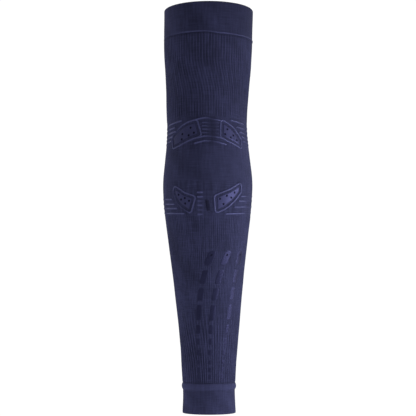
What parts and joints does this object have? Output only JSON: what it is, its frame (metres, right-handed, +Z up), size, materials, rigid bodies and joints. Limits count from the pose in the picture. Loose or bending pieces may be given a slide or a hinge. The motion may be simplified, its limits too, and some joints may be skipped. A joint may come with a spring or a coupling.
{
  "type": "arm compression sleeve",
  "caption": "Long knitted compression sleeve from upper arm to wrist, with doubled welt and cuff, ribbed elbow bands with perforated pads and rows of smooth dashes.",
  "frame": {"origin": "centre of the elbow, on the axis of the arm that the sleeve is worn on", "axes": "+Z up the arm towards the shoulder, -Y out of the elbow's point, +X to the right seen from the elbow's point"},
  "size_m": [0.0961, 0.1136, 0.4356],
  "materials": {
    "double_knit": "matte doubled knit",
    "rib_knit": "matte fine rib knit",
    "band_knit": "matte raised knit",
    "plain_knit": "matte plain knit",
    "smooth_pad": "smooth satin yarn"
  },
  "bodies": {
    "root": {"top_welt": "double_knit", "upper_arm_knit": "rib_knit", "upper_elbow_band": "band_knit", "elbow_cap_knit": "plain_knit", "lower_elbow_band": "band_knit", "forearm_knit": "rib_knit", "wrist_ring": "double_knit", "wrist_cuff": "double_knit", "upper_pad_right": "smooth_pad", "upper_pad_left": "smooth_pad", "lower_pad_right": "smooth_pad", "lower_pad_left": "smooth_pad", "row_1_head": "smooth_pad", "row_1_dash_1": "smooth_pad", "row_1_dash_2": "smooth_pad", "row_1_dash_3": "smooth_pad", "row_1_dash_4": "smooth_pad", "row_1_dash_5": "smooth_pad", "row_1_dash_6": "smooth_pad", "row_1_dash_7": "smooth_pad", "row_1_dash_8": "smooth_pad", "row_1_dash_9": "smooth_pad", "row_2_head": "smooth_pad", "row_2_dash_1": "smooth_pad", "row_2_dash_2": "smooth_pad", "row_2_dash_3": "smooth_pad", "row_2_dash_4": "smooth_pad", "row_2_dash_5": "smooth_pad", "row_2_dash_6": "smooth_pad", "row_2_dash_7": "smooth_pad", "row_2_dash_8": "smooth_pad", "row_2_dash_9": "smooth_pad", "row_3_head": "smooth_pad", "row_3_dash_1": "smooth_pad", "row_3_dash_2": "smooth_pad", "row_3_dash_3": "smooth_pad", "row_3_dash_4": "smooth_pad", "row_3_dash_5": "smooth_pad", "row_3_dash_6": "smooth_pad", "row_3_dash_7": "smooth_pad", "row_3_dash_8": "smooth_pad", "row_3_dash_9": "smooth_pad"}
  },
  "joints": []
}
